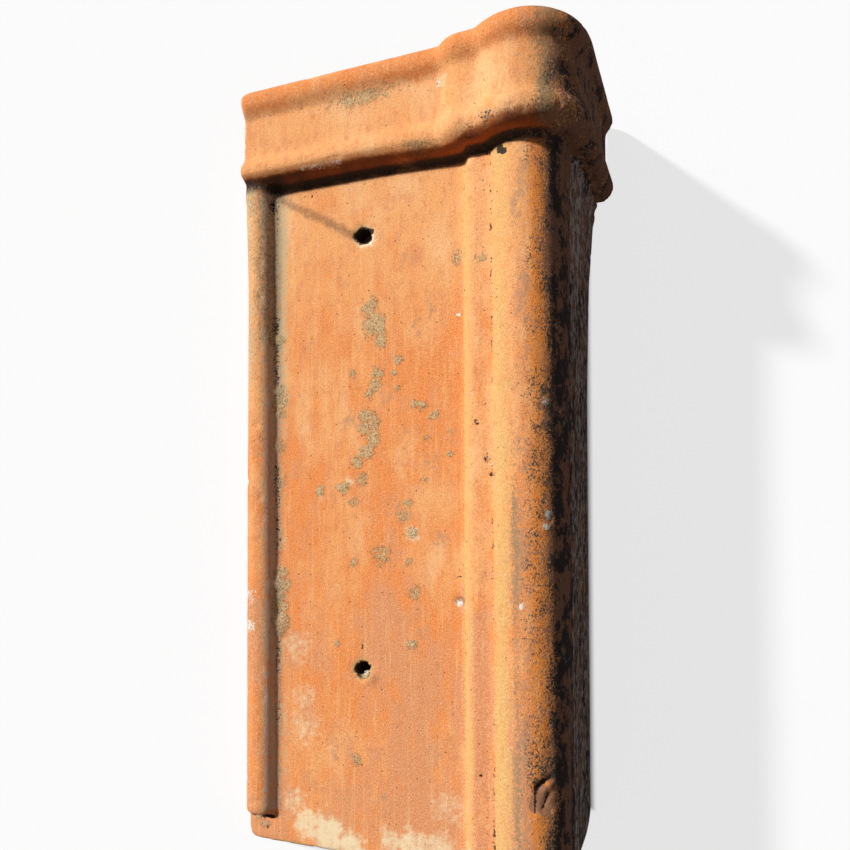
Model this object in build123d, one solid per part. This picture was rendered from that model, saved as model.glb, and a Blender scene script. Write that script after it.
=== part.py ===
from build123d import *
import math
import os

# A clay verge tile: a flat wing, a large corner roll and a flange that drops beside the roof's edge.
# The section is drawn with x across the wing and y away from the roof, then runs along the tile.

# Driving dimensions, in millimetres and degrees
tile_length = 450.0
wing_width = 192.0
flange_drop = 81.0
wall = 12.0
edge_round = 2.0
end_round = 1.5

# Clipped lower corner of the flange at the plain end
clip_along = 8.0
clip_up = 20.0

# Half-round rib on the free edge of the wing
rib_radius = 8.4
rib_end_gap = 17.0
rib_end_round = 3.0
rib_foot_round = 2.5

# Raised ledge between the panel and the corner roll
ledge_height = 6.4
ledge_to_roll = 34.5
ledge_rounds = 3.9

# Corner roll over the bend, hollow beneath
roll_radius = 22.0
roll_crest = 13.7
roll_foot_round = 3.0

# Hood that covers the plain end of the next tile
hood_length = 60.0
hood_rise = 10.5
hood_step_shift = 10.0
hood_rounds = 9.5
bead_radius = 9.0
bead_height = 4.4
end_bead_foot_round = 3.0
inner_bead_foot_round = 6.0
hood_lean = 1.3
cove_radius = 2.5
neck_length = 10.0
socket_clearance = 1.5

# Nail holes through the wing
nail_hole_diameter = 10.0
nail_hole_first = 106.0
nail_hole_spacing = 250.0
nail_hole_count = 2
nail_hole_off_middle = 1.3

# Sizes worked out from the driving dimensions
roll_centre = (wing_width - roll_radius, roll_crest - roll_radius)
ledge_start = roll_centre[0] - ledge_to_roll
panel_middle = (2 * rib_radius + ledge_start) / 2
nail_hole_line = panel_middle - nail_hole_off_middle
hood_start = tile_length - hood_length
socket_start = hood_start + neck_length
bead_base = hood_rise + bead_height - bead_radius
rest_tilt = math.degrees(math.atan2(flange_drop - wall, wing_width - wall))
cove_root = cove_radius / 2

# How far cutting shapes run past what they cut, and how near counts as lying on a plane
cut_over = 5.0
near = 0.01


def outer_line(rise, step_start, step_rounds, foot_round, lean=0.0, line_start=0.0, line_end=-flange_drop):
    """Top line of the section, lifted by rise, from the free edge round the roll to the flange's foot."""
    step_turn = math.degrees(math.acos(1 - ledge_height / (2 * step_rounds)))
    panel = Line((line_start, rise), (step_start, rise))
    step_up = JernArc(panel @ 1, (1, 0), step_rounds, step_turn)
    step_over = JernArc(step_up @ 1, step_up % 1, step_rounds, -step_turn)
    radius = roll_radius + rise
    foot_drop = rise + ledge_height + foot_round - roll_centre[1]
    foot_turn = math.degrees(math.acos(foot_drop / (radius + foot_round)))
    foot_reach = math.sqrt((radius + foot_round) ** 2 - foot_drop ** 2)
    ledge = Line(step_over @ 1, (roll_centre[0] - foot_reach, rise + ledge_height))
    foot = JernArc(ledge @ 1, (1, 0), foot_round, foot_turn)
    roll = JernArc(foot @ 1, foot % 1, radius, lean - foot_turn - 90)
    roll_end = roll @ 1
    foot_out = (roll_end.Y - line_end) * math.tan(math.radians(lean))
    flange = Line(roll_end, (roll_end.X + foot_out, line_end))
    return [panel, step_up, step_over, ledge, foot, roll, flange]


def body_line_shape(clearance=0.0):
    """Place of the ledge step, its roundings and the rounding at the roll's foot, in the body."""
    return ledge_start - clearance, ledge_rounds, roll_foot_round


def hood_line_shape():
    """The same in the hood, with softer roundings, an earlier step and a flange that leans outwards."""
    return ledge_start - hood_step_shift, hood_rounds, hood_rounds, hood_lean


def closed_face(edges):
    """Face inside a closed run of edges."""
    return make_face(Wire(edges).edges())


def along_tile(face, start, end):
    """Runs a section face along the tile from start to end."""
    return Pos(0, start, 0) * extrude(Plane.XZ * face, -(end - start))


def box_face(left, bottom, right, top):
    """Rectangle between two corners."""
    return Pos(left, bottom) * Rectangle(right - left, top - bottom, align=(Align.MIN, Align.MIN))


def under_space():
    """Space under the wing, beside the flange and in the hollow of the roll."""
    inner_radius = roll_radius - wall
    flange_face = wing_width - wall
    below = -flange_drop - cut_over
    space = box_face(-cut_over, below, flange_face, -wall)
    space += box_face(flange_face - 2 * inner_radius, below, flange_face, roll_centre[1])
    space += Pos(*roll_centre) * Circle(inner_radius)
    return space


def tile_section(rise, step_start, step_rounds, foot_round, lean=0.0):
    """Section under a lifted top line: the wing, the roll over its hollow and the flange."""
    top = outer_line(rise, step_start, step_rounds, foot_round, lean)
    low_corner = (0, -flange_drop)
    sides = [Line(top[-1] @ 1, low_corner), Line(low_corner, top[0] @ 0)]
    return closed_face(top + sides) - under_space()


def plain_body():
    """Wing, ledge, roll and flange at one section, the plain end rounded and the flange's corner clipped."""
    section = tile_section(0, *body_line_shape())
    foot_corners = section.vertices().group_by(Axis.Y)[0]
    wing_corner = section.vertices().group_by(Axis.X)[0].sort_by(Axis.Y)[0]
    section = fillet(list(foot_corners) + [wing_corner], edge_round)
    body = along_tile(section, 0, tile_length)
    foot = -flange_drop
    clip_line = Polyline((0, foot + clip_up), (0, foot), (clip_along, foot), close=True)
    clip = Plane.YZ * make_face(clip_line.edges())
    body -= extrude(clip, wing_width + cut_over)
    plain_end = body.edges().filter_by_position(Axis.Y, -near, near)
    return fillet(plain_end, end_round)


def edge_rib():
    """Half-round rib flush with the free edge, stopping short of the plain end."""
    strip = box_face(0, -wall / 2, 4 * rib_radius, 0)
    bar = Pos(rib_radius, 0) * Circle(rib_radius)
    section = strip + bar
    foot = section.vertices().sort_by_distance((2 * rib_radius, 0))[0]
    section = fillet(foot, rib_foot_round)
    rib = along_tile(section, rib_end_gap, hood_start + edge_round)
    end_arcs = rib.edges().filter_by(GeomType.CIRCLE).group_by(Axis.Y)[0]
    crown = end_arcs.sort_by(Axis.Z)[-1]
    return fillet(crown, rib_end_round)


def hood_moulding():
    """Half-round bead at each end of the hood and the shallow valley between, run round the section."""
    foot = -flange_drop
    path = Wire(outer_line(bead_base, *hood_line_shape(), line_end=foot - cut_over))
    root = -bead_base / 2
    valley = bead_radius - bead_height
    bead_places = (hood_start + bead_radius, tile_length - bead_radius)
    section = box_face(hood_start, root, tile_length, 0)
    section += box_face(bead_places[0], root, bead_places[1], valley)
    for bead_place in bead_places:
        section += Pos(bead_place, 0) * Circle(bead_radius)
    creases = section.vertices().filter_by_position(Axis.Y, valley - near, valley + near).sort_by(Axis.X)
    section = fillet(creases[0], inner_bead_foot_round)
    end_crease = section.vertices().sort_by_distance(tuple(creases[-1]))[0]
    section = fillet(end_crease, end_bead_foot_round)
    across_path = Plane(origin=(0, 0, bead_base), x_dir=(0, 1, 0), z_dir=(1, 0, 0))
    moulding = sweep(across_path * section, path=Plane.XZ * path)
    below_foot = box_face(0, foot - 2 * cut_over, 2 * wing_width, foot)
    return moulding - along_tile(below_foot, hood_start, tile_length)


def hood_cove():
    """Small hollow rounding where the hood's end wall stands on the body, from inside the rib onwards."""
    path = Wire(outer_line(0, *body_line_shape(), line_start=rib_radius))
    block = box_face(hood_start - cove_radius, -cove_root, hood_start + cove_root, cove_radius)
    section = block - Pos(hood_start - cove_radius, cove_radius) * Circle(cove_radius)
    across_path = Plane(origin=(rib_radius, 0, 0), x_dir=(0, 1, 0), z_dir=(1, 0, 0))
    return sweep(across_path * section, path=Plane.XZ * path)


def hood_socket():
    """Space inside the hood: the plain end's outline with a clearance all round, open at the free edge."""
    below = -flange_drop - cut_over
    shape = body_line_shape(socket_clearance)
    top = outer_line(socket_clearance, *shape, line_start=-cut_over, line_end=below)
    low_corner = (-cut_over, below)
    sides = [Line(top[-1] @ 1, low_corner), Line(low_corner, top[0] @ 0)]
    return along_tile(closed_face(top + sides), socket_start, tile_length + cut_over)


def nail_holes():
    """Straight holes through the wing."""
    drill = Cylinder(nail_hole_diameter / 2, 2 * wall + 2 * cut_over)
    places = [nail_hole_first + step * nail_hole_spacing for step in range(nail_hole_count)]
    return [Pos(nail_hole_line, place, 0) * drill for place in places]


def verge_tile():
    """The whole tile as one fired piece, in the section's own axes."""
    tile = plain_body() + edge_rib()
    tile += along_tile(tile_section(bead_base, *hood_line_shape()), hood_start, tile_length)
    tile += hood_moulding()
    tile += hood_cove()
    tile -= hood_socket()
    for hole in nail_holes():
        tile -= hole
    free_side = tile.edges().filter_by_position(Axis.X, -near, near)
    hood_side = free_side.filter_by_position(Axis.Z, bead_base + near, hood_rise + bead_height)
    return fillet(hood_side, edge_round)


def laid_down(tile):
    """Tips the tile to lie on the wing's free edge and the flange's foot, centred over the origin."""
    tipped = Rot(0, -rest_tilt, 0) * tile
    box = tipped.bounding_box()
    return Pos(-box.center().X, -box.center().Y, -box.min.Z) * tipped


os.makedirs("parts", exist_ok=True)
export_step(laid_down(verge_tile()), "parts/verge_tile.step")
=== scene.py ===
import math

import bpy
import numpy as np
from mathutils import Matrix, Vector, noise


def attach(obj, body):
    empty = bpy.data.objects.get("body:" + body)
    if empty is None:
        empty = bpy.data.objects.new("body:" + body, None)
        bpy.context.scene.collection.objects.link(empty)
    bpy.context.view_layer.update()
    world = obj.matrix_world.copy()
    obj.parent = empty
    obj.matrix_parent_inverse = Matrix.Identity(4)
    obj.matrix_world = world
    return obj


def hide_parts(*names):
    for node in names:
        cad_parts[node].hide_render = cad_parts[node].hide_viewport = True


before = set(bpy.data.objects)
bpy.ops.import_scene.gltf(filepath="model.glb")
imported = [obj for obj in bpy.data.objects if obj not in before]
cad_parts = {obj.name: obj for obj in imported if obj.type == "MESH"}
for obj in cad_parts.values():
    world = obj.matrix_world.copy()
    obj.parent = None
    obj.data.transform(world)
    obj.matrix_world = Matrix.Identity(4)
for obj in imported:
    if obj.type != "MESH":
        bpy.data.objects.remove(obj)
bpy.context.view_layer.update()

# The weathered skin of a clay verge tile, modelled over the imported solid.
# Places are in the tile's own millimetres: u across the wing from its free edge, v along the tile
# from its plain end, w up from the panel's face. Colours are linear.

# Sizes shared with the part
tile_length = 450.0
wing_width = 192.0
flange_drop = 81.0
wall = 12.0
rib_radius = 8.4
rib_start = 17.0
ledge_start = 135.5
ledge_step = (ledge_start, ledge_start + 7.5)
ledge_height = 6.4
roll_radius = 22.0
roll_centre = (wing_width - roll_radius, -8.3)
roll_foot = 154.0
hood_start = 390.0
upper_bead_foot = 431.5
nail_holes = ((74.9, 106.0), (74.9, 356.0))
nail_hole_radius = 5.0
rest_tilt = math.atan2(flange_drop - wall, wing_width - wall)

# The step of the ledge as the dark clay under the hood follows it, wider and softer
soft_ledge_step = (ledge_start - 10, ledge_start + 9)

# Net of the visible skin, the rounds of smoothing and how far a hole's circle draws the net's points
net_size = 1.75
net_relaxing = 3
crease_relaxing = 24
corner_relaxing = 16
hole_wall_reach = 0.9
skin_name = "tile_skin"

# Worn corners in u and v, and how far the rounding reaches
worn_corners = (((0, 0), 9), ((wing_width, 0), 7), ((0, tile_length), 7))

# Clay, what has settled on it, and colours for painted shade and painted highlight
clay_main = (0.87, 0.38, 0.128)
clay_pale = (0.90, 0.49, 0.22)
clay_sandy = (0.90, 0.54, 0.28)
clay_deep = (0.82, 0.255, 0.060)
clay_rosy = (0.72, 0.285, 0.12)
clay_red = (0.90, 0.27, 0.03)
# Yellower clay for worn edges and for painted highlight on slopes facing the key light
worn_and_lit_clay = (0.66, 0.40, 0.135)
clay_broken = (0.46, 0.21, 0.105)
# Deep orange-brown for painted shade on the hood's end wall
shaded_wall_clay = (0.36, 0.070, 0.006)
clay_dull = (0.47, 0.26, 0.145)
clay_dark = (0.53, 0.15, 0.035)
pit_dark = (0.16, 0.075, 0.035)
speck_pale = (0.80, 0.60, 0.38)
lime_white = (0.78, 0.74, 0.65)
cream_scum = (0.86, 0.69, 0.43)
film_olive = (0.30, 0.22, 0.115)
dust_grey = (0.58, 0.43, 0.24)
ash_grey = (0.60, 0.46, 0.35)
lichen_tan = (0.54, 0.37, 0.175)
lichen_dark = (0.13, 0.105, 0.055)
lichen_cream = (0.68, 0.56, 0.34)
# Near black for dirt and for painted shade in creases, chips and corners
dirt_and_shade_brown = (0.024, 0.016, 0.011)
# Dark brown for grime and for painted shade under the hood, in the groove and in the holes
grime_and_shade_brown = (0.060, 0.036, 0.024)
soot_black = (0.050, 0.036, 0.034)
soot_olive = (0.13, 0.105, 0.065)
soot_brown = (0.44, 0.19, 0.105)
soot_grey = (0.74, 0.65, 0.63)

# Surface of the clay: its least and most roughness, its gloss, and its finest grain in metres
clay_roughness = (0.78, 0.98)
clay_gloss = 0.3
grain_depth = 0.00035
grain_strength = 0.9

# How far apart the noise of two seeds is taken, on the net and in the clay's colours
lumps_step = 17.3
grain_step = (7.1, 3.7, 5.3)

# Marks on the upper face: u, v, reach and strength
lichen_marks = (
    (82, 303, 8.5, 1.0), (79, 313, 7, 0.72), (86, 294, 5, 0.8), (84, 275, 5.5, 0.85),
    (82, 268, 4.5, 1.0), (79, 263, 3.5, 0.9), (77, 251, 5, 0.95), (83, 247, 5, 0.9),
    (76, 243, 5, 1.0), (81, 238, 6, 1.0), (77, 230, 5.5, 1.0), (71, 225, 4.5, 0.9),
    (68, 276, 3, 0.9), (97, 282, 3.5, 0.8), (94, 275, 2.5, 0.9), (96, 266, 2.5, 0.8),
    (107, 256, 3, 0.9), (112, 255, 3.5, 0.9), (119, 250, 3.5, 0.9), (114, 237, 2.5, 0.8),
    (128, 228, 2.5, 0.8), (113, 214, 3, 0.7), (47, 209, 4, 1.0), (62, 210, 5, 0.85),
    (74, 215, 4, 0.75), (69, 202, 4, 0.6), (103, 201, 3, 0.9), (99, 193, 5, 0.65),
    (105, 184, 4, 0.75), (86, 172, 8, 0.55), (69, 167, 3, 0.8), (103, 168, 3, 0.8),
    (107, 151, 5, 0.6), (105, 122, 3.5, 0.9), (58, 120, 2.5, 0.8), (71, 54, 3.5, 0.8),
    (133, 336, 5, 0.6), (148, 332, 4, 0.6), (7, 14.2, 3, 0.9), (10, 10.5, 3, 0.9),
)
lime_marks = (
    (133, 304, 2, 1.0), (132.5, 146, 3, 0.9), (171, 147, 1.8, 1.0), (184, 194, 3, 0.8),
    (183, 188, 2.5, 0.8), (183, 252, 4, 0.62), (5, 146, 7, 0.55), (5, 128, 6, 0.6),
    (158, 397, 7, 0.5), (128, 428, 6, 0.5), (153, 220, 4, 0.5), (86, 356, 3, 0.5),
    (81, 351, 5, 0.5), (79, 103, 3, 0.6),
)
# Dark sunk marks: dirt, and painted shadow in chips
dark_sunk_marks = (
    (160, 385, 2.8, 1.0), (163, 383, 2, 0.8), (151, 223, 4, 0.52), (153, 216, 3.4, 0.55),
    (145, 243, 3.4, 0.6), (157, 396, 7, 0.5), (146, 393, 6, 0.45), (75, 119, 1.6, 1.0),
    (80.2, 357.6, 2.2, 1.0), (86, 97, 4, 0.42), (41, 384, 2, 0.8), (147, 57, 1.2, 1),
    (151, 46, 3, 0.42), (152, 66, 3, 0.42), (133, 160, 1.5, 0.6), (9, 13.2, 2.5, 0.6),
    (11.5, 9, 2, 0.7), (196, 420, 5, 0.9),
)
cream_marks = (
    (38, 14, 11, 0.75), (52, 10, 15, 0.9), (66, 6, 11, 0.85), (92, 13, 10, 0.7),
    (105, 11, 13, 0.74), (122, 10, 13, 0.66), (140, 9, 10, 0.7), (30, 26, 12, 0.5),
    (36, 88, 11, 0.42), (37, 70, 14, 0.42), (32, 116, 14, 0.42), (66, 214, 4, 0.6),
    (105, 183, 6, 0.7), (127, 34, 14, 0.42), (48, 205, 4, 0.5),
)
crumb_marks = (
    (20, 262, 5, 0.9), (19.5, 269, 4, 0.8), (20, 256, 4, 0.7), (21, 160, 5, 0.9),
    (21, 153, 6, 1.0), (20, 147, 4, 0.9), (20, 140, 5, 0.9), (20.5, 132, 6, 1.0),
    (20, 126, 4, 0.8), (19.5, 300, 5, 0.7), (20, 236, 5, 0.6), (20, 215, 4, 0.5),
)
broken_marks = ((133, 147, 3.5, 1.0), (181, 50, 9, 1.0), (184, 192, 3, 0.7))
stain_marks = (
    (66, 248, 9, 0.5), (112, 300, 9, 0.42), (118, 312, 7, 0.4), (116, 222, 9, 0.45),
    (104, 240, 8, 0.4), (88, 262, 10, 0.36), (130, 236, 8, 0.4), (98, 196, 10, 0.4),
    (110, 130, 8, 0.4), (84, 100, 6, 0.4), (100, 88, 9, 0.4), (60, 60, 12, 0.4),
    (120, 60, 12, 0.4), (88, 30, 12, 0.42), (40, 40, 9, 0.4), (102, 340, 9, 0.36),
    (60, 330, 9, 0.34), (122, 180, 8, 0.4),
)

# Cracks and a chip on the upper face, and a stroke under the rib's end: start and end in u and v
spall_crack = ((184, 61), (178.5, 57.5))
spall_side_crack = ((184, 54), (181, 46))
spall_edge = ((177.5, 57), (177, 44))
# Painted shadow under the rib's end, also cut a little into the clay
under_rib_end = ((4, 15.8), (14.5, 14.6))

# Strokes of colour: start, end, width and strength
dark_strokes = (
    (*spall_crack, 1.7, 0.9), (*spall_edge, 1.1, 0.8),
    # The stroke under the rib's end is painted shadow
    (*spall_side_crack, 0.9, 0.8), (*under_rib_end, 2.4, 1.0),
)
# A dark diagonal stroke from the rib's upper end to the upper nail hole
diagonal_dark_strokes = (((19, 386), (69, 357), 4.5, 0.5),)
lime_strokes = (((42, 392.8), (66, 392.4), 2.8, 0.64),)

# Strokes cut into the clay: start, end, width and depth in millimetres
cut_strokes = ((*spall_crack, 2.0, 1.4), (*spall_side_crack, 1.4, 0.6), (*under_rib_end, 2.4, 0.7))

# Crumbs in the lower nail hole and a chip on the upper one's rim: u, v and reach
crumb_colour_spot = (77.5, 102.5, 7.5)
crumb_heap_spot = (78.2, 102.8, 7.2)
hole_chip_spot = (79, 352.5, 4.2)

# How thick the black growth and the dull film are, by degrees round the roll
soot_on_body = (
    (-22, 0), (-8, 0.12), (8, 0.26), (20, 0.36), (32, 0.48), (42, 0.66), (50, 0.88), (58, 1.2),
)
soot_on_hood = ((-14, 0), (4, 0.05), (18, 0.12), (28, 0.30), (40, 0.60), (54, 0.72), (70, 0.95))
dull_on_body = ((-16, 0), (-6, 0.45), (8, 0.40), (24, 0.13), (50, 0.22), (70, 0))

# How far parts of the tile bend out of true, in millimetres, by the place along it
free_edge_flare = (
    (0, 2.6), (30, 1.8), (330, 1.8), (385, 3.6), (392, 0.4), (415, 1.1), (440, 0.4),
)
flange_foot_flare = ((265, 0), (338, 1.9), (355, 3.2), (380, 5.0), (392, 0.8))
flange_join_flare = ((374, 0), (383, 1.5), (388, 5.0), (391, 0))
rib_side_bulge = ((0, 1.9), (120, 1.9), (220, 1.2), (320, 0))
free_corner_flare = 1.9
lower_bead_lift = 2.4

# Camera, fitted to the outlines, edges and nail holes in the photograph
camera_place = (0.0019, -0.0330, 0.4291)
camera_turn = (1.446, -1.721, -0.226)
camera_lens = 28.83
camera_shift = (-0.0361, 0.0897)
camera_near = 0.01

# Light: the key's direction in the tile's axes, its softness in degrees, and the levels
white = (1, 1, 1, 1)
key_direction = (-0.86, 0.60, 1.0)
key_level = 1.44
key_softness = 4.0
fill_level = 0.12
backdrop_level = 0.97

# Floor in metres: half its size, its grey and its glow, and the half sizes and the rim of the part
# under the tile that has no glow
floor_half = 4.0
floor_grey = 0.3
floor_glow = 0.74
floor_shade = (0.109, 0.224)
floor_shade_rim = (0.012, 0.006)


def read_points(mesh):
    """Vertex places of a mesh as rows of an array."""
    flat = np.zeros(3 * len(mesh.vertices))
    mesh.vertices.foreach_get("co", flat)
    return flat.reshape(-1, 3)


def write_points(mesh, points):
    """Gives a mesh new vertex places."""
    mesh.vertices.foreach_set("co", points.astype(np.float32).ravel())
    mesh.update()


def untilted(points):
    """Row-frame metres turned so that the wing lies level, in millimetres."""
    x, y, z = 1000 * points.T
    across = x * math.cos(rest_tilt) + z * math.sin(rest_tilt)
    up = z * math.cos(rest_tilt) - x * math.sin(rest_tilt)
    return np.column_stack((across, y, up))


cad_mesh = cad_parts["verge_tile"].data
tile_corner = untilted(read_points(cad_mesh)).min(axis=0) + (0, 0, flange_drop)


def to_tile(points):
    """Row-frame metres to tile millimetres."""
    return untilted(points) - tile_corner


def tilted(u, v, w):
    """A place or direction in the tile's axes, turned as the tile rests."""
    across = u * math.cos(rest_tilt) - w * math.sin(rest_tilt)
    up = u * math.sin(rest_tilt) + w * math.cos(rest_tilt)
    return across, v, up


def to_row(points):
    """Tile millimetres to row-frame metres."""
    return np.column_stack(tilted(*(points + tile_corner).T / 1000))


def applied(mesh, name, kind, **settings):
    """The mesh that a modifier makes of this one."""
    holder = bpy.data.objects.new(name, mesh)
    bpy.context.scene.collection.objects.link(holder)
    modifier = holder.modifiers.new(name, kind)
    for key, value in settings.items():
        setattr(modifier, key, value)
    graph = bpy.context.evaluated_depsgraph_get()
    made = bpy.data.meshes.new_from_object(holder.evaluated_get(graph))
    bpy.data.objects.remove(holder)
    return made


def even_net():
    """The solid's surface as an even net of small faces, in tile millimetres."""
    mesh = cad_mesh.copy()
    write_points(mesh, to_tile(read_points(mesh)))
    mesh = applied(mesh, "weld", "WELD", merge_threshold=0.001)
    return applied(mesh, "net", "REMESH", mode="VOXEL", voxel_size=net_size)


def normals_of(mesh):
    """Vertex normals of a mesh as rows of an array."""
    flat = np.zeros(3 * len(mesh.vertices))
    mesh.vertex_normals.foreach_get("vector", flat)
    return flat.reshape(-1, 3)


def edges_of(mesh):
    """Vertex pairs of a mesh's edges as rows of an array."""
    flat = np.zeros(2 * len(mesh.edges), dtype=np.int64)
    mesh.edges.foreach_get("vertices", flat)
    return flat.reshape(-1, 2)


def lumps(points, size, seed=0, stretch=(1, 1, 1)):
    """Smooth noise from about -1 to 1, with lumps of this size in millimetres."""
    places = points / (size * np.array(stretch)) + lumps_step * seed
    return np.array([noise.noise(place) for place in places])


def eased(values, low, high):
    """Smooth step from 0 at low to 1 at high."""
    share = np.clip((values - low) / (high - low), 0, 1)
    return share * share * (3 - 2 * share)


def hump(values, middle, reach):
    """1 at the middle, easing to 0 at this reach on both sides."""
    return 1 - eased(np.abs(values - middle), 0, reach)


def stepped(values, stops):
    """Values read off a line through stops, each a place and the value there."""
    places, levels = zip(*stops)
    return np.interp(values, places, levels)


def strongest(*shares):
    """The largest of several values at each point."""
    return np.maximum.reduce(shares)


def neighbour_mean(values, edges):
    """Mean of each vertex's neighbours."""
    total = np.zeros_like(values)
    count = np.bincount(edges.ravel(), minlength=len(values))
    for axis in range(values.shape[1]):
        column = values[:, axis]
        sums = np.bincount(edges[:, 0], column[edges[:, 1]], len(values))
        sums += np.bincount(edges[:, 1], column[edges[:, 0]], len(values))
        total[:, axis] = sums / count
    return total


def relaxed(points, edges, rounds, share=0.5):
    """Points drawn towards their neighbours; share may differ from point to point."""
    for _ in range(rounds):
        points = points + share * (neighbour_mean(points, edges) - points)
    return points


def round_holes(points):
    """Draws the net's points beside each nail hole's wall onto its circle."""
    in_wing = np.abs(points[:, 2] + wall / 2) < wall / 2 + 1
    for hole in nail_holes:
        out = points[:, :2] - hole
        away = np.linalg.norm(out, axis=1)
        near = in_wing & (np.abs(away - nail_hole_radius) < hole_wall_reach)
        points[near, :2] = hole + out[near] * (nail_hole_radius / away[near])[:, None]
    return points


def from_roll(points):
    """How far points lie out across the wing and up from the corner roll's middle."""
    return points[:, 0] - roll_centre[0], np.maximum(points[:, 2] - roll_centre[1], 0)


def roll_angle(points):
    """Angle round the corner roll in degrees: 0 on top, 90 where the flange starts and below."""
    out, up = from_roll(points)
    return np.degrees(np.arctan2(out, up + 1e-6))


def above_body(points, step_start, step_end):
    """Height over the body's face: the panel, the step between these places, the ledge and the roll."""
    out, up = from_roll(points)
    over_roll = np.hypot(out, up) - roll_radius
    over_flat = points[:, 2] - ledge_height * eased(points[:, 0], step_start, step_end)
    return np.where(out > 0, over_roll, np.minimum(over_roll, over_flat))


def outer_share(points, normals):
    """1 on the upper and outer faces, 0 on the under and inner faces."""
    out, up = from_roll(points)
    out = np.maximum(out, 0)
    reach = np.hypot(out, up) + 1e-6
    facing = (normals[:, 0] * out + normals[:, 2] * up) / reach
    return eased(facing, -0.1, 0.2)


class Skin:
    """The net with what its shape and its colours are worked out from."""

    def __init__(self):
        self.mesh = even_net()
        self.edges = edges_of(self.mesh)
        self.points = round_holes(relaxed(read_points(self.mesh), self.edges, net_relaxing))
        write_points(self.mesh, self.points)
        self.normals = normals_of(self.mesh)
        self.u, self.v, self.w = self.points.T
        smoothed = relaxed(self.points, self.edges, crease_relaxing)
        self.convex = np.sum((self.points - smoothed) * self.normals, axis=1)
        self.outer = outer_share(self.points, self.normals)
        self.angle = roll_angle(self.points)
        self.above = above_body(self.points, *ledge_step)
        self.above_soft = above_body(self.points, *soft_ledge_step)
        self.hood = eased(self.v, hood_start - 1, hood_start + 1)
        self.body = 1 - self.hood
        self.add_noise()
        self.add_places()

    def add_noise(self):
        """Noise that several signs share, from broad to fine."""
        self.broad = self.lumps(34, 6, (1, 2.2, 1))
        self.middling = self.lumps(11, 7, (1, 2.0, 1))
        self.lengthwise = self.lumps(5, 8, (1, 12, 1))
        self.wander = self.lumps(5, 4) + 0.6 * self.lumps(2.4, 5)
        self.leaning = self.angle + 6 * self.broad + 4 * self.middling

    def add_places(self):
        """Parts of the surface that several signs share, from 0 to 1, and how far the nail holes are."""
        u, v, w = self.u, self.v, self.w
        self.high_up = eased(v, 180, 330)
        self.groove = hump(u, 2 * rib_radius + 1.5, 6) * eased(v, rib_start - 4, rib_start + 8)
        self.groove *= self.outer * eased(w, -2, -0.5) * (1 - eased(w, 2.5, 5.5))
        self.rib_side = eased(u, 5.5, 11.5) * (1 - eased(u, 17, 20))
        self.rib_side *= eased(w, 0.3, 1.5) * (1 - eased(w, 10, 12))
        self.rib_top = (1 - eased(u, 8, 13)) * self.body * eased(w, -2, 0)
        self.hood_crease = hump(v, upper_bead_foot - 2, 8) * hump(u, 79, 36) * self.hood
        self.hood_crease *= 0.72 + 0.45 * self.middling
        self.crumbs = self.marks(crumb_marks) * (1 - eased(w, 5, 7))
        self.from_lower, self.from_upper = [self.away(hole) for hole in nail_holes]
        in_lower_hole = self.from_lower < nail_hole_radius + 0.8
        self.hole_crumbs = self.spot(crumb_colour_spot) * eased(w, -6, -3) * in_lower_hole
        self.hole_rim = hump(self.from_upper, nail_hole_radius + 1.4, 2.2) * self.outer
        hole_u, hole_v = nail_holes[1]
        self.rim_side = (0.6 * (u - hole_u) - 0.8 * (v - hole_v)) / self.from_upper

    def lumps(self, size, seed=0, stretch=(1, 1, 1)):
        """Smooth noise over the net."""
        return lumps(self.points, size, seed, stretch)

    def away(self, place):
        """Distance from a place on the upper face."""
        return np.hypot(self.u - place[0], self.v - place[1])

    def spot(self, spot):
        """1 at a place, easing to 0 at its reach."""
        return hump(self.away(spot), 0, spot[2])

    def marks(self, places):
        """Strongest of a list of round marks with wandering rims."""
        share = np.zeros(len(self.points))
        for u, v, reach, strength in places:
            away = self.away((u, v)) / reach + 0.4 * self.wander
            share = np.maximum(share, strength * (1 - eased(away, 0.35, 1.25)))
        return share * self.outer

    def line(self, start, end, width):
        """1 along a straight stroke, 0 beyond its wandering rim."""
        start, end = np.array(start, float), np.array(end, float)
        line = end - start
        flat = self.points[:, :2]
        along = np.clip((flat - start) @ line / (line @ line), 0, 1)
        away = np.linalg.norm(flat - start - along[:, None] * line, axis=1)
        return (1 - eased(away / width + 0.35 * self.wander, 0.3, 1.1)) * self.outer

    def strokes(self, lines):
        """Strongest of a list of strokes."""
        shares = [strength * self.line(start, end, width) for start, end, width, strength in lines]
        return strongest(*shares)


def soot_sign(skin):
    """Black growth over the roll, the flange and the hood's outer side, less where clay is broken."""
    on_body = stepped(skin.leaning, soot_on_body)
    on_body = on_body * (1 - 0.3 * eased(skin.v, 320, 360) * (1 - eased(skin.angle, 30, 44)))
    on_hood = stepped(skin.leaning, soot_on_hood)
    clusters = 0.3 * skin.lumps(5, 11, (1, 1.4, 1)) + 0.26 * skin.lumps(13, 12, (1, 1.6, 1))
    soot = on_body * skin.body + on_hood * skin.hood + clusters * eased(skin.angle, -6, 12)
    soot = soot + 0.45 * hump(skin.v, hood_start + 4, 6) * hump(skin.u, 173, 20)
    soot = soot + 0.16 * (1 - eased(skin.v, 8, 70)) * hump(skin.angle, 28, 26)
    return soot * skin.outer * (1 - 0.75 * skin.marks(broken_marks))


def rusty_sign(skin):
    """Where brown clay shows through the black growth."""
    rusty = 0.56 * skin.body + 0.66 * skin.hood + 0.6 * skin.lumps(10, 13, (1, 1.8, 1))
    return rusty + (0.2 * eased(skin.v, 310, 360) - 0.18 * hump(skin.angle, 54, 18)) * skin.body


def hoary_sign(skin):
    """Grey run marks down the flange."""
    down_flange = eased(skin.angle, 66, 88) * skin.body * eased(-skin.w, 6, 24)
    return down_flange * (0.56 + 0.35 * skin.lengthwise)


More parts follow.
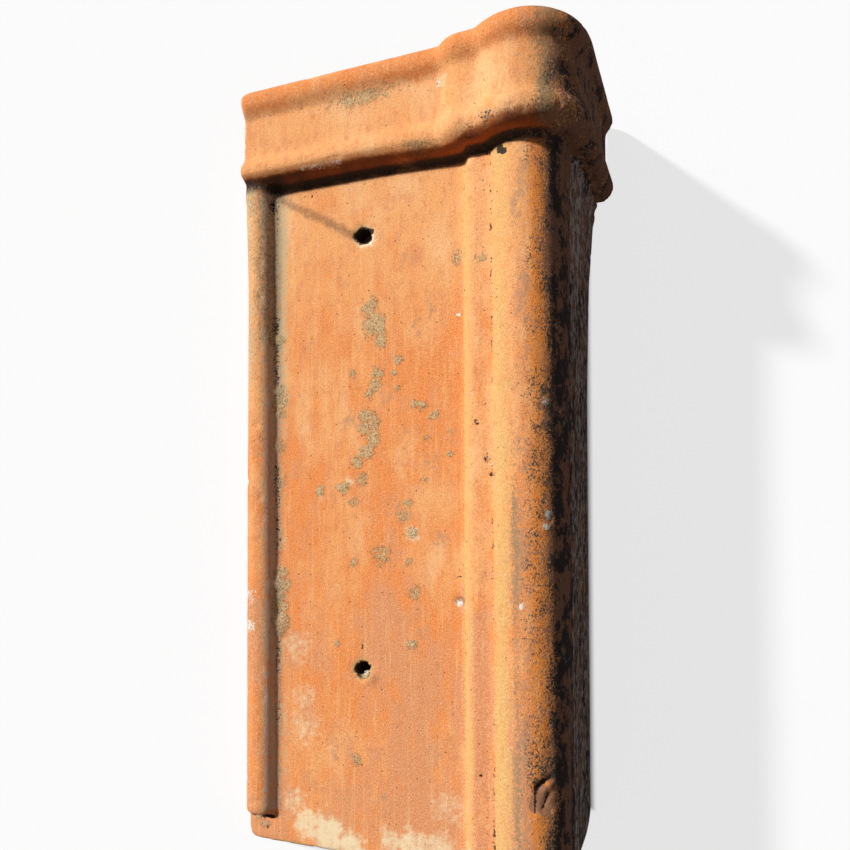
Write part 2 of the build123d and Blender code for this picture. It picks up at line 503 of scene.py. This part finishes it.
def film_sign(skin):
    """Thin olive film on the rib, the roll's crown, the hood's shoulder and its lower bead."""
    broad, middling = skin.broad, skin.middling
    rib_side = skin.rib_side * skin.body
    rib_side = rib_side * (0.08 + 0.42 * skin.high_up + 0.25 * broad + 0.2 * middling)
    rib_top = skin.rib_top * (0.1 + 0.25 * middling + 0.2 * broad + 0.32 * skin.high_up)
    crown = hump(skin.angle, -6, 14) * skin.body * eased(skin.w, 9, 12)
    crown = crown * (1 - 0.5 * eased(skin.v, 200, 300))
    crown = crown * (0.55 + 0.4 * broad + 0.3 * skin.lengthwise + 0.3 * middling)
    shoulder = hump(skin.leaning, 33, 20) * skin.hood * (0.78 + 0.35 * middling)
    bead = hump(skin.v, hood_start + 4.5, 7) * hump(skin.u, 118, 28) * (0.66 + 0.4 * middling)
    bead_by_roll = hump(skin.v, hood_start + 5, 7) * hump(skin.u, 160, 22) * (0.55 + 0.4 * middling)
    return strongest(rib_side, rib_top, crown, shoulder, bead, bead_by_roll) * skin.outer


def dust_sign(skin):
    """Grey dust on the panel beside the groove and on the upper end of the rib."""
    by_groove = hump(skin.u, 20.5, 9) * eased(skin.v, 12, 40) * (1 - eased(skin.w, 1.5, 3))
    by_groove = by_groove * (0.36 + 0.36 * skin.high_up + 0.4 * skin.middling)
    on_rib = skin.rib_top * skin.high_up * (0.52 + 0.4 * skin.middling)
    return strongest(by_groove, on_rib) * skin.body * skin.outer


def lichen_sign(skin):
    """Lichen crusts, crumbs beside the rib and in the lower hole, and the crust in the hood's valley."""
    in_valley = skin.hood_crease * skin.outer
    return strongest(skin.marks(lichen_marks), skin.crumbs, in_valley, 1.4 * skin.hole_crumbs)


def dirt_and_shade_sign(skin):
    """Dark dirt and painted shade in creases, in the groove, along the roll's foot, in cracks, in chips
    and by the hood's corner.
    """
    u, v, above, middling = skin.u, skin.v, skin.above, skin.middling
    # Painted shade with dirt in creases and in the groove
    crease = eased(-skin.convex, 0.3, 1.2) * (1 - hump(u, ledge_start, 9) * skin.body)
    crease = crease * (0.35 + 0.4 * middling)
    groove = skin.groove * (0.42 + 0.25 * middling)
    by_roll = 0.56 * hump(u, roll_foot, 3.0) * skin.body
    by_roll = by_roll * (0.6 + 0.5 * skin.lengthwise + 0.5 * skin.wander)
    in_hollows = strongest(crease, groove, by_roll, 0.42 * skin.hood_crease) * skin.outer
    # Painted shade in the corner under the hood beside the rib
    hood_corner = 0.8 * hump(u, 18, 11) * hump(v, hood_start - 0.5, 6)
    hood_corner = hood_corner * eased(above, -2, -1) * (1 - eased(above, 5, 10))
    groove_end = 0.62 * hump(u, 17.5, 5) * hump(v, hood_start - 9, 13) * skin.outer
    seen = strongest(skin.marks(dark_sunk_marks), skin.strokes(dark_strokes))
    return strongest(in_hollows, seen, hood_corner, groove_end)


def wall_shade_sign(skin):
    """Painted shade on the hood's end wall and round its lower bead, up to a smooth height, as dark deep
    orange clay.
    """
    higher = 1.8 * eased(skin.u, 135, 160)
    wall_shade = eased(skin.v, hood_start - 4, hood_start - 1) * eased(skin.above, 0.5, 4)
    wall_shade = wall_shade * (1 - eased(skin.v - higher, hood_start + 2.5, hood_start + 7))
    wall_shade = wall_shade * (1 - eased(skin.above_soft - higher, 9.5, 14))
    return wall_shade * (0.8 + 0.4 * skin.middling) * (1 - eased(skin.angle, 20, 60))


def grime_and_shade_sign(skin, wall_shade):
    """Painted shade with brown grime under the hood, in the groove, on the rib, in the nail holes and on
    the roll.
    """
    u, v, w, above = skin.u, skin.v, skin.w, skin.above
    broad, middling, high_up = skin.broad, skin.middling, skin.high_up
    from_hood = v - hood_start
    # Painted shadow under the hood's lower bead, with grime
    under_hood = eased(from_hood, -4.5, -1.5) * (1 - eased(from_hood, 1.5, 4))
    under_hood = under_hood * (1 - eased(u, 186, 196)) * eased(above, -2, -1) * (1 - eased(above, 2, 7))
    under_hood = 1.3 * under_hood * (0.85 + 0.3 * middling)
    # Painted shade on the hood's end wall, darkest towards the free edge
    free_side = 0.62 * (1 - eased(u, 105, 150)) + 0.35 * (1 - eased(u, 20, 60))
    end_wall = wall_shade * strongest(0.5 * eased(above, 6, 10), free_side)
    # Painted shadow of the rib and grime in the groove and on the rib's inner side
    groove = 0.42 * skin.groove * (0.9 + 0.4 * broad) * (1 - skin.crumbs) * high_up
    rib_side = 0.22 * skin.rib_side * skin.body * (0.2 + 0.8 * high_up + 0.5 * broad)
    diagonal_dark_stroke = skin.strokes(diagonal_dark_strokes) * (1 + 0.3 * skin.wander)
    # Painted shade below the hood's upper bead
    valley = 0.3 * hump(v, upper_bead_foot + 1, 5) * (1 - eased(u, 100, 160)) * skin.hood
    # Painted shade inside the nail holes
    by_holes = np.minimum(skin.from_lower, skin.from_upper) < nail_hole_radius + 2
    in_holes = 1.2 * by_holes * eased(-w, 0.15, 0.9)
    roll = 0.22 * hump(skin.angle, 6, 20) * skin.body * eased(middling + broad, 0.0, 0.9) * skin.outer
    return strongest(under_hood, end_wall, groove, rib_side, diagonal_dark_stroke, valley, in_holes, roll)


def lime_sign(skin):
    """White lime in spots, on the upper hole's rim, in both holes, on the flange and under the hood."""
    rim = skin.hole_rim * (0.30 + 0.24 * skin.rim_side)
    flange = 0.5 * hump(skin.angle, 82, 12) * hump(skin.v, hood_start - 6, 16) * skin.outer
    under_hood = skin.strokes(lime_strokes) * (0.9 + 0.3 * skin.wander)
    in_hole = 0.6 * (skin.from_upper < nail_hole_radius + 1) * hump(skin.w, -2.5, 2.5)
    in_hole = in_hole * hump(skin.v, nail_holes[1][1] - nail_hole_radius, 5)
    return strongest(skin.marks(lime_marks), rim, 0.62 * skin.hole_crumbs, flange, under_hood, in_hole)


def cream_sign(skin):
    """Cream scum in patches, on the upper hole's rim and along the plain end."""
    rim = skin.hole_rim * (0.62 + 0.4 * skin.rim_side)
    plain_end = 0.62 * (1 - eased(skin.v, 2, 9)) * hump(skin.u, 90, 75) * skin.outer
    return strongest(skin.marks(cream_marks), rim, plain_end)


def worn_and_lit_sign(skin):
    """Pale worn clay on edges, and a painted highlight tone on the ledge's step and the roll's foot."""
    edges = eased(skin.convex, 0.25, 0.9) * (0.6 + 0.3 * skin.middling)
    edges = edges * (1 - 0.7 * skin.hood) * eased(skin.u, 6, 14)
    # Painted highlight tone on the ledge's step and the roll's foot, which face the key light
    step = hump(skin.u, ledge_start + 2.5, 4) * skin.body * skin.outer
    foot = eased(skin.u, roll_foot - 2, roll_foot + 2) * (1 - eased(skin.u, 161, 172))
    foot = foot * skin.body * skin.outer * (0.72 + 0.25 * skin.middling)
    return strongest(edges, step, foot) * skin.outer


def dull_sign(skin):
    """Dull film on the roll and the hood's shoulder, and stains on the panel."""
    roll = stepped(skin.leaning, dull_on_body) * skin.body * (1 + 1.5 * skin.middling + 0.6 * skin.broad)
    shoulder = 0.3 * hump(skin.angle, 12, 30) * skin.hood * (0.7 + skin.middling)
    return strongest(roll + shoulder, skin.marks(stain_marks)) * skin.outer


def red_sign(skin):
    """Redder clay under the growth on the roll."""
    roll = hump(skin.angle, 28, 28) * skin.body * skin.outer
    return roll * (0.9 + 0.35 * skin.broad + 0.2 * skin.middling)


def ash_sign(skin):
    """Ashen band down the rib's inner side."""
    band = eased(skin.u, 10, 15) * (1 - eased(skin.u, 20, 24)) * eased(skin.w, 0, 1)
    band = band * eased(skin.v, rib_start, rib_start + 6) * skin.body * skin.outer
    return band * (0.82 + 0.3 * skin.middling + 0.35 * skin.wander)


def deep_sign(skin):
    """Deeper orange clay in the panel's middle and at the plain end, and deep orange painted shade on
    the hood's upper bead.
    """
    middle_part = eased(skin.v, 60, 150) * (1 - eased(skin.v, 300, 370))
    deep = 0.30 + 0.36 * middle_part + 0.5 * skin.broad + 0.35 * skin.middling
    # The term at the upper bead is painted shade
    deep = deep + 0.9 * hump(skin.v, tile_length - 9, 12) + 0.45 * (1 - eased(skin.v, 90, 170))
    return deep - 0.3 * hump(skin.u, 145, 12) * skin.body - 0.15 * eased(skin.v, 290, 340)


def rosy_sign(skin):
    """Rosy clay towards the plain end, a little more of it on the ledge."""
    rosy = (1 - eased(skin.v, 60, 220)) * (0.72 + 0.8 * skin.broad)
    rosy = rosy + 0.3 * hump(skin.u, 145, 10) * (1 - eased(skin.v, 60, 240))
    return rosy + 0.35 * eased(skin.middling + skin.broad, 0.1, 0.8)


def signs_of_age(skin):
    """Where each kind of growth, deposit, wear, breakage, painted shade and painted highlight lies, from
    0 to 1.
    """
    wall_shade = wall_shade_sign(skin)
    return {
        "soot": soot_sign(skin),
        "film": film_sign(skin),
        "dust": dust_sign(skin),
        "lichen": lichen_sign(skin),
        "dirt_and_shade": dirt_and_shade_sign(skin),
        "lime": lime_sign(skin),
        "cream": cream_sign(skin),
        "worn_and_lit": worn_and_lit_sign(skin),
        "red": red_sign(skin),
        "deep": deep_sign(skin),
        "rosy": rosy_sign(skin),
        "broken": skin.marks(broken_marks),
        "grime_and_shade": grime_and_shade_sign(skin, wall_shade),
        "dull": dull_sign(skin),
        "ash": ash_sign(skin),
        "wall_shade": wall_shade,
        "rusty": rusty_sign(skin),
        "hoary": hoary_sign(skin),
    }


def bent(skin):
    """How far each point moves across and along the tile, out of the plain solid.

    The free edge and the flange's foot flare outwards, most of it next to the hood, the rib's inner
    side bulges, the nail holes are drawn in a little, and the hood's lower bead is drawn up the tile.
    """
    shift = np.zeros_like(skin.points)
    for hole in nail_holes:
        inward = hump(skin.away(hole), nail_hole_radius, 3) / nail_hole_radius
        shift[:, 0] -= 0.5 * inward * (skin.u - hole[0])
        shift[:, 1] -= inward * (skin.v - hole[1])
    free_corner = free_corner_flare * hump(skin.v, hood_start - 0.5, 7) * (1 - eased(skin.w, 4, 9))
    free_edge = stepped(skin.v, free_edge_flare) + free_corner
    shift[:, 0] -= free_edge * (1 - eased(skin.u, 0, 30))
    rib_side = stepped(skin.v, rib_side_bulge) * skin.outer
    shift[:, 0] += rib_side * eased(skin.u, 3, 13) * (1 - eased(skin.u, 19, 32))
    flange = stepped(skin.v, flange_foot_flare) + stepped(skin.v, flange_join_flare) * skin.outer
    shift[:, 0] += flange * eased(-skin.w, 0, flange_drop)
    lower_bead = hump(skin.v, hood_start + 1, 9) * (1 - eased(skin.u, 70, 150))
    shift[:, 1] += lower_bead_lift * lower_bead * eased(skin.above, -0.5, 0.6)
    return shift


def surface_depth(skin):
    """How deep the waves, streaks and bitten edges of the clay lie under the plain solid."""
    fine = skin.lumps(3.4, 3)
    depth = 0.18 * (1 - skin.lumps(70, 1)) + 0.07 * (1 - skin.lumps(10, 2)) + 0.05 * (1 - fine)
    depth += 0.05 * (1 - skin.lumps(3.5, 9, (1, 14, 1))) * skin.outer
    bites = eased(skin.lumps(7, 10) + 0.5 * fine, 0.42, 0.8)
    depth += 0.9 * bites * eased(skin.convex, 0.3, 0.9)
    depth += 0.8 * skin.marks(broken_marks) * (1 + 0.6 * fine)
    depth += 0.5 * skin.marks(dark_sunk_marks) * (1 + fine)
    for start, end, width, deep in cut_strokes:
        depth += deep * skin.line(start, end, width)
    return depth


def hole_depth(skin):
    """How deep the nail holes' rims and walls are worn; crumbs stand out from the lower one's wall."""
    depth = 1.2 * skin.spot(hole_chip_spot) * skin.outer
    for away in (skin.from_lower, skin.from_upper):
        depth += 0.35 * hump(away, nail_hole_radius + 0.5, 2.6) * (0.9 + skin.wander) * skin.outer
        within = 1 - eased(away, nail_hole_radius - 0.3, nail_hole_radius + 1.5)
        depth -= 0.45 * within * (1 + skin.wander) * (1 - skin.outer)
    heap = skin.spot(crumb_heap_spot) * eased(skin.w, -7, -3) * (1 - 0.6 * skin.outer)
    return depth - 4.6 * heap * (0.9 + 0.4 * skin.wander)


def crust_depth(skin, signs):
    """Less than nothing where crumbs, lichen and lime stand on the clay."""
    crumbs = 0.9 * skin.marks(crumb_marks) * eased(skin.wander, -0.2, 0.5)
    lichen = 0.22 * signs["lichen"] * (1 + skin.wander)
    return -crumbs - lichen - 0.3 * eased(signs["lime"], 0.5, 0.8)


def give_values(mesh, name, values):
    """Stores one number for each vertex under a name that the clay's colours read."""
    store = mesh.attributes.new(name, "FLOAT", "POINT")
    store.data.foreach_set("value", values.astype(np.float32))


def weathered_skin():
    """The tile's skin with softened edges, wear, breakage and the values that its colours follow."""
    skin = Skin()
    signs = signs_of_age(skin)
    depth = surface_depth(skin) + hole_depth(skin) + crust_depth(skin, signs)
    points = skin.points - depth[:, None] * skin.normals + bent(skin)
    corner = sum(hump(skin.away(place), 0, reach) for place, reach in worn_corners)
    points = relaxed(points, skin.edges, corner_relaxing, 0.5 * np.clip(corner, 0, 1)[:, None])
    write_points(skin.mesh, points)
    place = skin.mesh.attributes.new("place", "FLOAT_VECTOR", "POINT")
    place.data.foreach_set("vector", points.astype(np.float32).ravel())
    give_values(skin.mesh, "roll_angle", skin.angle * skin.outer)
    for name, values in signs.items():
        give_values(skin.mesh, name, values)
    row_points = to_row(points)
    row_points[:, 2] -= row_points[:, 2].min()
    write_points(skin.mesh, row_points)
    skin.mesh.polygons.foreach_set("use_smooth", np.ones(len(skin.mesh.polygons), dtype=bool))
    return skin.mesh


class Recipe:
    """Builds one material's nodes; all methods but node give back what carries a value or a colour."""

    def __init__(self, name):
        self.material = bpy.data.materials.new(name)
        self.material.use_nodes = True
        self.tree = self.material.node_tree
        self.tree.nodes.clear()
        self.place = self.node("ShaderNodeAttribute", attribute_name="place").outputs["Vector"]

    def node(self, kind, inputs=(), **settings):
        """A node with its settings, and its inputs linked or set."""
        made = self.tree.nodes.new(kind)
        for key, value in settings.items():
            setattr(made, key, value)
        for key, value in dict(inputs).items():
            if isinstance(value, bpy.types.NodeSocket):
                self.tree.links.new(value, made.inputs[key])
            else:
                made.inputs[key].default_value = value
        return made

    def reads(self, name):
        """Value stored on the skin under this name."""
        return self.node("ShaderNodeAttribute", attribute_name=name).outputs["Fac"]

    def spread(self, size, stretch, seed):
        """Tile places measured in lumps of this size."""
        scale = [1 / (size * along) for along in stretch]
        start = [step * seed for step in grain_step]
        inputs = {0: self.place, 1: scale, 2: start}
        return self.node("ShaderNodeVectorMath", inputs, operation="MULTIPLY_ADD").outputs[0]

    def grain(self, size, seed=0, stretch=(1, 1, 1), detail=3.0, rough=0.6):
        """Noise from 0 to 1 with lumps of this size in millimetres."""
        place = self.spread(size, stretch, seed)
        inputs = {"Vector": place, "Scale": 1.0, "Detail": detail, "Roughness": rough}
        return self.node("ShaderNodeTexNoise", inputs).outputs[0]

    def between(self, value, low, high):
        """Eases a value to 0 at low and 1 at high."""
        inputs = {"Value": value, "From Min": low, "From Max": high, "To Min": 0.0, "To Max": 1.0}
        return self.node("ShaderNodeMapRange", inputs, interpolation_type="SMOOTHSTEP").outputs[0]

    def sums(self, kind, first, second):
        """Result of a sum of this kind."""
        return self.node("ShaderNodeMath", {0: first, 1: second}, operation=kind).outputs[0]

    def cover(self, under, over, share, strength=1.0):
        """Colour under, covered by colour over by this share and at most this strongly."""
        if strength < 1:
            share = self.sums("MULTIPLY", share, strength)
        inputs = {0: share, 6: self.colour(under), 7: self.colour(over)}
        return self.node("ShaderNodeMix", inputs, data_type="RGBA").outputs[2]

    def colour(self, value):
        """A socket as it is, or a colour with its full cover."""
        return value if isinstance(value, bpy.types.NodeSocket) else (*value, 1.0)

    def ragged(self, name, grain, swing=1.0, low=0.42, high=0.58):
        """A stored value with its rim broken up by noise: 0 or 1 with a narrow crossing."""
        swung = self.sums("MULTIPLY", self.sums("SUBTRACT", grain, 0.5), swing)
        return self.between(self.sums("ADD", self.reads(name), swung), low, high)

    def specks(self, spacing, size, chosen, seed):
        """Round specks: 1 inside, on the chosen share of cells of this spacing in millimetres."""
        place = self.spread(spacing, (1, 1, 1), seed)
        cells = self.node("ShaderNodeTexVoronoi", {"Vector": place, "Scale": 1.0, "Randomness": 1.0})
        inside = self.between(cells.outputs["Distance"], 0.5 * size / spacing, 0.3 * size / spacing)
        pick = self.node("ShaderNodeSeparateColor", {0: cells.outputs["Color"]}).outputs[0]
        return self.sums("MULTIPLY", inside, self.between(pick, 1 - chosen, 1 - chosen + 0.05))

    def pits(self):
        """Small round pits in the clay."""
        return self.specks(4.2, 1.0, 0.4, 1)


def bare_clay(mix):
    """Fired clay: mottled, streaked along the tile, pitted and specked, and painted shade and highlight.
    """
    mottle = mix.between(mix.grain(26, 1, (1, 1.8, 1), 5), 0.44, 0.72)
    colour = mix.cover(clay_main, clay_pale, mottle)
    deep = mix.ragged("deep", mix.grain(9, 2, (1, 2.5, 1), 6), 1.5, 0.2, 0.9)
    colour = mix.cover(colour, clay_deep, deep)
    rosy = mix.ragged("rosy", mix.grain(12, 3, (1, 1.8, 1), 6), 2.6, 0.3, 0.9)
    colour = mix.cover(colour, clay_rosy, rosy)
    red = mix.ragged("red", mix.grain(5, 4), 0.8, 0.3, 0.8)
    colour = mix.cover(colour, clay_red, red)
    streaks = mix.between(mix.grain(1.6, 5, (1, 26, 1), 3), 0.5, 0.72)
    colour = mix.cover(colour, clay_pale, streaks, 0.5)
    smudges = mix.between(mix.grain(5, 6, (1, 2.4, 1), 6, 0.7), 0.5, 0.64)
    colour = mix.cover(colour, clay_rosy, smudges, 0.6)
    # Worn edges and painted highlight tone
    worn_and_lit = mix.ragged("worn_and_lit", mix.grain(3, 7, (1, 3, 1), 4), 0.7, 0.25, 0.9)
    colour = mix.cover(colour, worn_and_lit_clay, worn_and_lit)
    sand = mix.grain(0.75, 8, detail=2)
    colour = mix.cover(colour, clay_dark, mix.between(sand, 0.5, 0.66), 0.42)
    colour = mix.cover(colour, clay_sandy, mix.between(sand, 0.48, 0.34), 0.5)
    blotch = mix.between(mix.grain(4.5, 10, (1, 1.4, 1), 6, 0.75), 0.53, 0.66)
    colour = mix.cover(colour, clay_dark, blotch, 0.3)
    colour = mix.cover(colour, pit_dark, mix.pits(), 0.75)
    in_parts = mix.between(mix.grain(24, 26), 0.5, 0.6)
    flecks = mix.sums("MULTIPLY", mix.specks(5.0, 1.2, 0.5, 2), in_parts)
    colour = mix.cover(colour, speck_pale, flecks, 0.8)
    dull = mix.ragged("dull", mix.grain(3.2, 29, (1, 1.5, 1), 6, 0.75), 2.6, 0.36, 0.66)
    colour = mix.cover(colour, clay_dull, dull, 0.66)
    # Painted shade on the hood's end wall and under its lower bead
    wall_shade = mix.ragged("wall_shade", mix.grain(5, 28), 0.8, 0.1, 0.7)
    colour = mix.cover(colour, shaded_wall_clay, wall_shade, 0.9)
    return mix.cover(colour, clay_broken, mix.ragged("broken", mix.grain(2, 9), 0.6))


def lichen_colour(mix):
    """Tan lichen crust with dark and cream grains."""
    colour = mix.cover(lichen_tan, lichen_cream, mix.between(mix.grain(1.1, 11), 0.5, 0.62))
    return mix.cover(colour, lichen_dark, mix.between(mix.grain(0.9, 12), 0.5, 0.62))


def soot_colour(mix):
    """Black growth, olive where it is thin, with patches of brown clay and grey run marks."""
    near_crown = mix.between(mix.reads("roll_angle"), 58, 34)
    thin = mix.sums("MULTIPLY", near_crown, mix.between(mix.grain(1.1, 27, detail=4), 0.6, 0.44))
    colour = mix.cover(soot_black, soot_olive, thin)
    rusty = mix.ragged("rusty", mix.grain(5, 13, (1, 1.4, 1), 6, 0.75), 3.0, 0.42, 0.7)
    colour = mix.cover(colour, soot_brown, rusty, 0.75)
    hoary = mix.ragged("hoary", mix.grain(2.6, 14, (1, 2.4, 1.6), 5, 0.75), 4.0, 0.46, 0.85)
    return mix.cover(colour, soot_grey, hoary, 0.7)


def clay_material():
    """Weathered terracotta: the clay, then what has settled on it and painted shade, each layer over the
    ones before.
    """
    mix = Recipe("terracotta_clay")
    colour = bare_clay(mix)
    cream = mix.ragged("cream", mix.grain(3.2, 15, detail=6, rough=0.7), 1.4, 0.2, 0.95)
    colour = mix.cover(colour, cream_scum, cream, 0.9)
    dust = mix.ragged("dust", mix.grain(1.3, 16, detail=5, rough=0.7), 2.4, 0.3, 0.7)
    colour = mix.cover(colour, dust_grey, dust)
    ash = mix.ragged("ash", mix.grain(1.6, 30, detail=5, rough=0.7), 1.6, 0.2, 0.9)
    colour = mix.cover(colour, ash_grey, ash, 0.85)
    # Painted shade and grime
    grime_and_shade = mix.ragged("grime_and_shade", mix.grain(2.2, 25, detail=5), 0.5, 0.05, 1.0)
    colour = mix.cover(colour, grime_and_shade_brown, grime_and_shade)
    film = mix.ragged("film", mix.grain(1.3, 17, (1, 1.4, 1), 5, 0.7), 2.6, 0.38, 0.7)
    colour = mix.cover(colour, film_olive, film, 0.75)
    # Dirt and painted shade
    dirt_and_shade = mix.ragged("dirt_and_shade", mix.grain(1.2, 18, detail=4), 1.0, 0.44, 0.6)
    colour = mix.cover(colour, dirt_and_shade_brown, dirt_and_shade, 0.97)
    lichen = mix.ragged("lichen", mix.grain(1.5, 19, detail=6, rough=0.7), 2.8, 0.36, 0.6)
    colour = mix.cover(colour, lichen_colour(mix), lichen, 0.8)
    soot = mix.ragged("soot", mix.grain(1.15, 20, (1, 1.3, 1), 6, 0.75), 3.4, 0.5, 0.66)
    colour = mix.cover(colour, soot_colour(mix), soot)
    lime = mix.ragged("lime", mix.grain(1.3, 21, detail=5, rough=0.7), 1.9, 0.56, 0.66)
    colour = mix.cover(colour, lime_white, lime)

    height = mix.sums("ADD", mix.grain(0.7, 22, detail=3), mix.sums("MULTIPLY", mix.grain(2.4, 23), 0.7))
    height = mix.sums("SUBTRACT", height, mix.sums("MULTIPLY", mix.pits(), 0.8))
    height = mix.sums("ADD", height, mix.sums("MULTIPLY", lichen, 0.6))
    relief = {"Height": height, "Distance": grain_depth, "Strength": grain_strength}
    bump = mix.node("ShaderNodeBump", relief)
    smooth, rough = clay_roughness
    span = {"Value": mix.grain(2.5, 24), "To Min": smooth, "To Max": rough}
    roughness = mix.node("ShaderNodeMapRange", span).outputs[0]
    inputs = {"Base Color": colour, "Roughness": roughness, "Normal": bump.outputs[0]}
    clay = mix.node("ShaderNodeBsdfPrincipled", {**inputs, "Specular IOR Level": clay_gloss})
    mix.node("ShaderNodeOutputMaterial", {"Surface": clay.outputs[0]})
    return mix.material


def floor_material():
    """Pale floor that shows white to the camera, keeps the tile's shadow and is dark under the tile."""
    mix = Recipe("pale_floor")
    plain = mix.node("ShaderNodeBsdfDiffuse", {"Color": (floor_grey, floor_grey, floor_grey, 1)})
    place = mix.node("ShaderNodeNewGeometry").outputs["Position"]
    spots = mix.node("ShaderNodeSeparateXYZ", {0: place})
    inner, outer = floor_shade_rim
    beyond = []
    for axis, half in enumerate(floor_shade):
        side = mix.sums("ABSOLUTE", spots.outputs[axis], 0)
        beyond.append(mix.between(side, half - inner, half - outer))
    glow_level = mix.sums("MULTIPLY", mix.sums("MAXIMUM", *beyond), floor_glow)
    glow = mix.node("ShaderNodeEmission", {"Color": white, "Strength": glow_level})
    both = mix.node("ShaderNodeAddShader", {0: plain.outputs[0], 1: glow.outputs[0]})
    seen = mix.node("ShaderNodeLightPath").outputs["Is Camera Ray"]
    shown = mix.node("ShaderNodeMixShader", {0: seen, 1: plain.outputs[0], 2: both.outputs[0]})
    mix.node("ShaderNodeOutputMaterial", {"Surface": shown.outputs[0]})
    return mix.material


def add_tile():
    """The weathered tile, shown in place of the plain solid."""
    mesh = weathered_skin()
    skin = bpy.data.objects.new(skin_name, mesh)
    bpy.context.scene.collection.objects.link(skin)
    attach(skin, "root")
    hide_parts("verge_tile")
    mesh.materials.clear()
    mesh.materials.append(clay_material())


def add_floor():
    """Plain floor that the tile rests on."""
    half = floor_half
    corners = [(-half, -half, 0), (half, -half, 0), (half, half, 0), (-half, half, 0)]
    mesh = bpy.data.meshes.new("floor")
    mesh.from_pydata(corners, [], [(0, 1, 2, 3)])
    mesh.materials.append(floor_material())
    floor = bpy.data.objects.new("floor", mesh)
    bpy.context.scene.collection.objects.link(floor)


def add_key_light():
    """Low sun from beyond the free edge and the hood, as the shadow under the hood shows."""
    lamp = bpy.data.lights.new("key", "SUN")
    lamp.energy = key_level * math.pi
    lamp.angle = math.radians(key_softness)
    key = bpy.data.objects.new("key", lamp)
    key.rotation_mode = "QUATERNION"
    key.rotation_quaternion = Vector(tilted(*key_direction)).to_track_quat("Z", "Y")
    bpy.context.scene.collection.objects.link(key)


def add_surroundings():
    """Plain pale surroundings: a soft fill for the tile, near white to the camera."""
    world = bpy.data.worlds.new("studio")
    world.use_nodes = True
    tree = world.node_tree
    tree.nodes.clear()
    out = tree.nodes.new("ShaderNodeOutputWorld")
    rays = tree.nodes.new("ShaderNodeLightPath")
    fill = tree.nodes.new("ShaderNodeBackground")
    fill.inputs["Color"].default_value = white
    fill.inputs["Strength"].default_value = fill_level
    seen = tree.nodes.new("ShaderNodeBackground")
    seen.inputs["Color"].default_value = (backdrop_level, backdrop_level, backdrop_level, 1)
    pick = tree.nodes.new("ShaderNodeMixShader")
    tree.links.new(rays.outputs["Is Camera Ray"], pick.inputs[0])
    tree.links.new(fill.outputs[0], pick.inputs[1])
    tree.links.new(seen.outputs[0], pick.inputs[2])
    tree.links.new(pick.outputs[0], out.inputs["Surface"])
    bpy.context.scene.world = world


def add_camera():
    """Camera at the photograph's angle."""
    camera = bpy.data.objects.new("camera", bpy.data.cameras.new("camera"))
    camera.location = camera_place
    camera.rotation_euler = [math.radians(angle) for angle in camera_turn]
    camera.data.lens = camera_lens
    camera.data.shift_x, camera.data.shift_y = camera_shift
    camera.data.clip_start = camera_near
    bpy.context.scene.collection.objects.link(camera)
    bpy.context.scene.camera = camera


add_tile()
add_floor()
add_key_light()
add_surroundings()
add_camera()
bpy.context.scene.view_settings.view_transform = "Standard"
